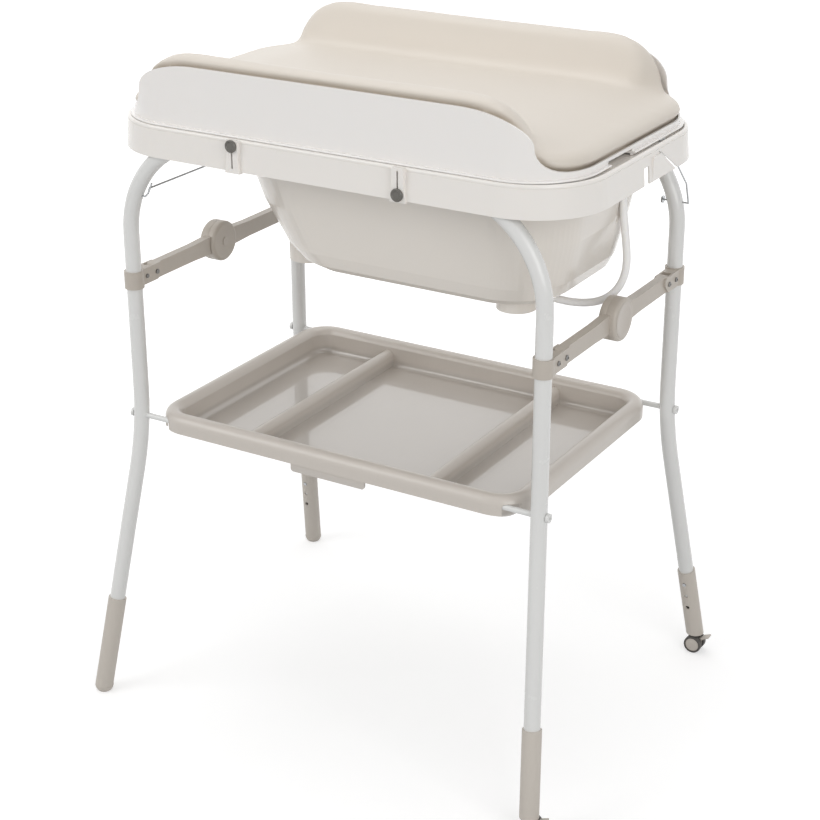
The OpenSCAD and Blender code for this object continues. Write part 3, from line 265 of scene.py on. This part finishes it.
# fine dry scratches and rubbed streaks from handling, running mostly one way
scratch_level, scratch_contrast, scratch_roughness = 0.52, 4.0, 0.35
rub_group, rub_in, rub_out = effect(
    "handling_rub",
    [("Amount", "Float", 0.2), ("Scale", "Float", 30.0), ("Colour", "Color", (1, 1, 1, 1)),
     ("Rubbed colour", "Color", (0.6, 0.6, 0.6, 1)), ("Roughness", "Float", 0.3)],
    [("Colour", "Color"), ("Roughness", "Float")])
at = rub_group.nodes.new("ShaderNodeTexCoord").outputs["Object"]
dry = noise_step(rub_group, at, rub_in["Scale"], detail=6.0, rough=0.7, stretch=(6.0, 1.2, 0.8))
patches = noise_step(rub_group, at, scale=9.0, detail=3.0, rough=0.5)
streaks = math_step(rub_group, "MULTIPLY",
                    math_step(rub_group, "SUBTRACT", dry, scratch_level, clamp=True),
                    scratch_contrast, clamp=True)
mask = math_step(rub_group, "MULTIPLY", streaks,
                 math_step(rub_group, "MULTIPLY", patches, rub_in["Amount"]), clamp=True)
rub_group.links.new(blend_step(rub_group, mask, rub_in["Colour"], rub_in["Rubbed colour"]),
                    rub_out["Colour"])
rub_group.links.new(
    math_step(rub_group, "ADD", rub_in["Roughness"],
              math_step(rub_group, "MULTIPLY", mask, scratch_roughness), clamp=True),
    rub_out["Roughness"])


def finish(name, colour, cloud_colour, *, clouds, cloud_scale, roughness, swing, peel_scale, peel,
           relief, rub, waves=0.5, rub_scale=30.0, rubbed=None, fixed=()):
    """A moulded or coated finish from the two effects.

    fixed holds the shader's sockets that are the same all over."""
    paint = bpy.data.materials.new(name)
    paint.use_nodes = True
    tree = paint.node_tree
    shader = tree.nodes["Principled BSDF"]
    skin = tree.nodes.new("ShaderNodeGroup")
    skin.node_tree = skin_group
    for label, value in (("Colour", colour), ("Cloud colour", cloud_colour), ("Clouds", clouds),
                         ("Cloud scale", cloud_scale), ("Roughness", roughness),
                         ("Gloss swing", swing), ("Peel scale", peel_scale), ("Peel", peel),
                         ("Waves", waves)):
        skin.inputs[label].default_value = value
    worn = tree.nodes.new("ShaderNodeGroup")
    worn.node_tree = rub_group
    worn.inputs["Amount"].default_value = rub
    worn.inputs["Scale"].default_value = rub_scale
    worn.inputs["Rubbed colour"].default_value = rubbed or cloud_colour
    tree.links.new(skin.outputs["Colour"], worn.inputs["Colour"])
    tree.links.new(skin.outputs["Roughness"], worn.inputs["Roughness"])
    tree.links.new(worn.outputs["Colour"], shader.inputs["Base Color"])
    tree.links.new(worn.outputs["Roughness"], shader.inputs["Roughness"])
    bump = tree.nodes.new("ShaderNodeBump")
    bump.inputs["Strength"].default_value = 1.0
    bump.inputs["Distance"].default_value = relief
    tree.links.new(skin.outputs["Height"], bump.inputs["Height"])
    tree.links.new(bump.outputs["Normal"], shader.inputs["Normal"])
    for label, value in fixed:
        shader.inputs[label].default_value = value
    return paint


def coat(paint, *names):
    """Gives the named solids their finish."""
    for name in names:
        nodes[name].data.materials.clear()
        nodes[name].data.materials.append(paint)


enamel = finish("white_powder_coat", tone(227, 227, 225), tone(216, 216, 214), clouds=0.5,
                cloud_scale=9.0, roughness=0.26, swing=0.08, peel_scale=520.0, peel=0.8,
                relief=0.00014, rub=0.08, rubbed=tone(206, 206, 205),
                fixed=(("Coat Weight", 0.35), ("Coat Roughness", 0.12)))
coat(enamel, "rear_frame_tube", "front_frame_tube", "rear_shelf_rod", "front_shelf_rod")

# Each leg carries a moulded beige clamp that wraps the tube and holds a bar between two cheeks.
# The bars fold at round hubs: two moulded shells, one over the other.
beige = finish("beige_moulding", tone(192, 184, 174), tone(180, 171, 160), clouds=0.45,
               cloud_scale=11.0, roughness=0.40, swing=0.14, peel_scale=900.0, peel=1.2,
               relief=0.00009, rub=0.35, rubbed=tone(204, 197, 188))


def at_corners(stem):
    """The names of a piece that is fitted at each of the four legs."""
    return [stem + leg for leg in ("_front_left", "_front_right", "_rear_left", "_rear_right")]


coat(beige, *at_corners("clamp"), *at_corners("bar"))
# the bars come out of the mould with softly rounded edges
for name in at_corners("bar"):
    joined = nodes[name].modifiers.new("joined", "WELD")
    joined.merge_threshold = 0.00002
    soft_edge = nodes[name].modifiers.new("soft_edge", "BEVEL")
    soft_edge.width = 0.0012
    soft_edge.segments = 2
    soft_edge.limit_method = "ANGLE"
    soft_edge.angle_limit = math.radians(40)
    soft_edge.harden_normals = True

# The hubs turn on moulded pins, and the release buttons in them are pressed to fold the table.
# Both are the same plastic as the bars, a shade lighter and polished by thumbs.
button_paint = finish("button_moulding", tone(194, 186, 177), tone(183, 174, 164), clouds=0.4,
                      cloud_scale=24.0, roughness=0.33, swing=0.16, peel_scale=900.0, peel=0.8,
                      relief=0.00006, rub=0.5, rubbed=tone(204, 196, 187))
coat(button_paint, "hub_button_left", "hub_button_right", "hub_pin_left", "hub_pin_right")

# Steel rivets and screws join the clamps and bars, and two pins hinge the changing top.
# They are zinc plated, with fine turning marks and a slightly dull bloom.


def metal(name, colour, bloom, roughness, streak):
    """Bare or plated steel with fine marks of its making."""
    return finish(name, colour, bloom, clouds=0.8, cloud_scale=60.0, roughness=roughness, swing=0.2,
                  peel_scale=1500.0, peel=0.6, relief=0.00003, rub=0.8, rub_scale=streak,
                  fixed=(("Metallic", 1.0),))


zinc = metal("zinc_plate", tone(138, 137, 135), tone(108, 107, 106), roughness=0.34,
             streak=90.0)
coat(zinc, *at_corners("pivot"), *at_corners("screw"), "hinge_pin_left", "hinge_pin_right")

# Two bent steel wires stay the frame: one runs across under the left end of the basin, the
# other hooks into the deck at the right and passes through the rear tube. The spring buttons
# that lock the legs' height are bent from the same bright steel.
spring = metal("bright_spring_wire", tone(186, 188, 190), tone(158, 160, 162), roughness=0.26,
               streak=140.0)
coat(spring, *at_corners("snap"), "stay_wire_left", "hook_wire_right")

# The lower legs slide in beige sleeves with three height holes. The left ones end in a
# round foot, the right ones in a caster.
sleeve_paint = finish("sleeve_moulding", tone(203, 196, 187), tone(190, 182, 172), clouds=0.5,
                      cloud_scale=8.0, roughness=0.44, swing=0.16, peel_scale=800.0, peel=1.4,
                      relief=0.0001, rub=0.5, rub_scale=18.0, rubbed=tone(214, 208, 200))
coat(sleeve_paint, *at_corners("sleeve"), "foot_front_left", "foot_rear_left")

# The casters have a dark swivel fork, twin beige wheel discs with dark treads
# and a beige pedal that presses on the treads.
fork_paint = finish("dark_moulding", tone(84, 80, 76), tone(66, 63, 60), clouds=0.6,
                    cloud_scale=30.0, roughness=0.45, swing=0.2, peel_scale=1200.0, peel=1.0,
                    relief=0.00006, rub=0.6, rubbed=tone(110, 105, 99))
tread_paint = finish("dark_tread", tone(70, 68, 66), tone(92, 88, 83), clouds=0.6,
                     cloud_scale=45.0, roughness=0.62, swing=0.2, peel_scale=1500.0, peel=1.6,
                     relief=0.0001, rub=0.9, rub_scale=60.0, rubbed=tone(128, 122, 114))
for end in ("front", "rear"):
    coat(fork_paint, "caster_fork_" + end)
    coat(tread_paint, "caster_tyre_a_" + end, "caster_tyre_b_" + end)
    coat(sleeve_paint, "caster_hub_" + end, "caster_brake_" + end)

# The basin is one ivory moulding: a skirt round the rim, a deck that rests on the two
# top tubes, and the bath tub hanging in the middle on its four moulded feet. The drain
# fitting under it is moulded in the same ivory.


def ivory_moulding(name, colour, cloud_colour, rub, rubbed):
    """Smooth ivory plastic that lets a little light in."""
    return finish(name, colour, cloud_colour, clouds=0.4, cloud_scale=3.0, roughness=0.24,
                  swing=0.06, peel_scale=300.0, peel=0.35, waves=0.2, relief=0.00012, rub=rub,
                  rubbed=rubbed,
                  fixed=(("Coat Weight", 0.25), ("Coat Roughness", 0.10),
                         ("Subsurface Weight", 0.06), ("Subsurface Radius", (0.012, 0.010, 0.008)),
                         ("Subsurface Scale", 0.5)))


def shade_by(paint, share, shade):
    """Multiplies a finish by a painted shade as far as the share, from 0 to 1, says."""
    tree = paint.node_tree
    base = tree.nodes["Principled BSDF"].inputs["Base Color"]
    shaded = blend_step(tree, share, base.links[0].from_socket, (*shade, 1), blend="MULTIPLY")
    tree.links.new(shaded, base)


def paint_shade_downward(paint, top, bottom, shade):
    """Paints shade into a finish, darker from one height down to another, and gives the share of
    the painted shade.
    """
    tree = paint.node_tree
    place = tree.nodes.new("ShaderNodeTexCoord")
    parts = tree.nodes.new("ShaderNodeSeparateXYZ")
    tree.links.new(place.outputs["Object"], parts.inputs[0])
    share = tree.nodes.new("ShaderNodeMapRange")
    share.interpolation_type = "SMOOTHSTEP"
    share.inputs["From Min"].default_value = top
    share.inputs["From Max"].default_value = bottom
    tree.links.new(parts.outputs["Z"], share.inputs["Value"])
    shade_by(paint, share.outputs[0], shade)
    return share.outputs[0]


ivory = ivory_moulding("ivory_moulding", tone(240, 236, 231), tone(235, 230, 224), rub=0.03,
                       rubbed=tone(226, 221, 213))
# the tub under the skirt is painted a shade darker and warmer: painted shade where the skirt shades
# it
paint_shade_downward(ivory, top=0.925, bottom=0.895, shade=(0.92, 0.90, 0.87))
coat(ivory, "basin", "drain_fitting")

# The changing top is a second moulded shell, in a cooler ivory. It lies on the basin's rim
# and tips up on two hinges at the rear.
shell_ivory = ivory_moulding("shell_moulding", tone(243, 240, 237), tone(238, 234, 230),
                             rub=0.02, rubbed=tone(236, 232, 227))
coat(shell_ivory, "changing_top")

# The drain plug is pushed into the tub's floor from above and has a grip to pull it out.
# It is moulded in the same soft white vinyl as the hose, which gets its finish here too.
vinyl = finish("white_vinyl", tone(249, 248, 247), tone(242, 240, 237), clouds=0.5,
               cloud_scale=20.0, roughness=0.34, swing=0.12, peel_scale=600.0, peel=0.5,
               relief=0.0001, rub=0.3,
               fixed=(("Subsurface Weight", 0.15), ("Subsurface Radius", (0.006, 0.006, 0.005)),
                      ("Subsurface Scale", 0.4)))
coat(vinyl, "drain_plug")
drain_hose.data.materials.append(vinyl)

# The latches are small dark moulded knobs. They slide in guides on the front skirt
# and catch the front tube.
knob = finish("dark_knob", tone(104, 101, 95), tone(84, 82, 77), clouds=0.6, cloud_scale=80.0,
              roughness=0.35, swing=0.2, peel_scale=1400.0, peel=0.8, relief=0.00005, rub=0.7,
              rubbed=tone(140, 136, 128))
coat(knob, "latch_left", "latch_right")

# The shelf tray is one taupe moulding with a rolled rim and two hollow dividers. It hooks
# over the two shelf rods. Its floor came off the mould glossy, and its rim is satin to the hand.
satin, floor_gloss = 0.15, 0.85
tray_paint = finish("taupe_tray", tone(207, 200, 192), tone(199, 191, 182), clouds=0.45,
                    cloud_scale=4.0, roughness=0.30, swing=0.07, peel_scale=260.0, peel=0.2,
                    waves=0.3, relief=0.00010, rub=0.3, rub_scale=22.0, rubbed=tone(195, 187, 178),
                    fixed=(("Coat Roughness", 0.05),))
tray_tree = tray_paint.node_tree
# below its rim the tray is painted a shade darker: painted shade on the inner walls, the floor and
# the lip's underside; the same share makes the floor glossier
down_inside = paint_shade_downward(tray_paint, top=0.472, bottom=0.462, shade=(0.86, 0.86, 0.86))
gloss = math_step(tray_tree, "ADD",
                  math_step(tray_tree, "MULTIPLY", down_inside, floor_gloss), satin)
tray_tree.links.new(gloss, tray_tree.nodes["Principled BSDF"].inputs["Coat Weight"])
coat(tray_paint, "shelf_tray")

# The mat is a foam body in a smooth beige film, seamed at its lower edge. It fills the shell
# and swells over the walls in soft bolsters.
cover = bpy.data.meshes.new("mat_cushion")
filling = bmesh.new()
filling.from_mesh(nodes["mat"].data)
bmesh.ops.remove_doubles(filling, verts=filling.verts, dist=0.00002)
bmesh.ops.recalc_face_normals(filling, faces=filling.faces)
filling.to_mesh(cover)
filling.free()
mat_cushion = bpy.data.objects.new("mat_cushion", cover)
bpy.context.scene.collection.objects.link(mat_cushion)


def settle(piece):
    """Applies a piece's modifiers as they now stand."""
    mesh = bpy.data.meshes.new_from_object(
        piece.evaluated_get(bpy.context.evaluated_depsgraph_get()))
    piece.modifiers.clear()
    piece.data = mesh


def along(place, start, length):
    """How far a place lies along a stretch, from 0 at its start to 1 at its end."""
    return min(max((place - start) / length, 0), 1)


def eased(share):
    """The same share with a soft start and a soft end."""
    return share * share * (3 - 2 * share)


even = mat_cushion.modifiers.new("even_cells", "REMESH")
even.mode = "VOXEL"
even.voxel_size = 0.0063
settle(mat_cushion)
filling = bmesh.new()
filling.from_mesh(mat_cushion.data)
for smoothing in range(4):
    bmesh.ops.smooth_vert(filling, verts=filling.verts, factor=0.5, use_axis_x=True,
                          use_axis_y=True, use_axis_z=True)

# the foam thins towards the two ends of the mat, so its end edges lie lower than its middle
half_mat = 0.3855
thin_from, thin_drop = 0.245, 0.016
mat_low, mat_flat = 0.986, 1.022
for vertex in filling.verts:
    outwards = along(abs(vertex.co.x - mid_x), thin_from, half_mat - thin_from)
    upwards = along(vertex.co.z, mat_low, mat_flat - mat_low)
    vertex.co.z -= thin_drop * eased(outwards) * upwards
filling.to_mesh(mat_cushion.data)
filling.free()

# the film gives a few millimetres on top and almost nothing where the shell holds it
give_held, give_more = 0.0008, 0.0022
held_up_to, held_fade = 0.994, 0.012
swell_frames = 20
before = [vertex.co.copy() for vertex in mat_cushion.data.vertices]
air = mat_cushion.modifiers.new("foam_swell", "CLOTH")
air.settings.use_pressure = True
air.settings.uniform_pressure_force = 4
air.settings.effector_weights.gravity = 0
air.settings.quality = 4
for frame_no in range(1, swell_frames + 1):
    bpy.context.scene.frame_set(frame_no)
settle(mat_cushion)
bpy.context.scene.frame_set(1)
for vertex, start in zip(mat_cushion.data.vertices, before):
    move = vertex.co - start
    most = give_held + give_more * along(start.z, held_up_to, held_fade)
    if move.length > most:
        move = move.normalized() * most
    vertex.co = start + move
mat_cushion.data.materials.clear()
for face in mat_cushion.data.polygons:
    face.use_smooth = True
finer = mat_cushion.modifiers.new("finer", "SUBSURF")
finer.levels = 1
finer.render_levels = 1
settle(mat_cushion)


def inward(place):
    """The level direction from a place on the shell's wall towards the middle of the mat."""
    core_x, core_y = 0.286, 0.134
    return Vector((min(max(place.x - mid_x, -core_x), core_x) + mid_x - place.x,
                   min(max(place.y, -core_y), core_y) - place.y, 0)).normalized()


# the film is drawn in where it meets the wall's rim, which leaves a thin shadow line round
# the shell; the rim is what is left of the shell without its floor and its walls' faces
rim_low, wall_facing = 0.982, 0.5
rim = bmesh.new()
rim.from_mesh(nodes["changing_top"].data)
rim.normal_update()
sides = [face for face in rim.faces if face.calc_center_median().z < rim_low
         or abs(face.normal.dot(inward(face.calc_center_median()))) > wall_facing]
bmesh.ops.delete(rim, geom=sides, context="FACES")
rim_top = BVHTree.FromBMesh(rim)
rim.free()
draw_reach, draw_most, line_falloff = 0.010, 0.0045, 1.5
# the share kept here paints a dark shadow line on the film along the shell's rim
weld = mat_cushion.data.attributes.new("weld", "FLOAT", "POINT")
for vertex in mat_cushion.data.vertices:
    gap = rim_top.find_nearest(vertex.co)[3]
    if gap < draw_reach:
        share = 1 - gap / draw_reach
        vertex.co += inward(vertex.co) * draw_most * eased(share)
        weld.data[vertex.index].value = share ** line_falloff
film = finish("mat_film", tone(217, 209, 198), tone(211, 202, 191), clouds=0.5, cloud_scale=5.0,
              roughness=0.42, swing=0.10, peel_scale=650.0, peel=1.6, relief=0.00010, rub=0.1,
              rubbed=tone(206, 197, 186), fixed=(("Sheen Weight", 0.12), ("Sheen Roughness", 0.4)))
# the film is painted darker along the rim: a painted shadow line where it is drawn in
shadow_line_share = film.node_tree.nodes.new("ShaderNodeAttribute")
shadow_line_share.attribute_name = "weld"
shade_by(film, shadow_line_share.outputs["Fac"], shade=(0.60, 0.55, 0.49))
mat_cushion.data.materials.append(film)
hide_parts("mat")
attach(mat_cushion, "top")
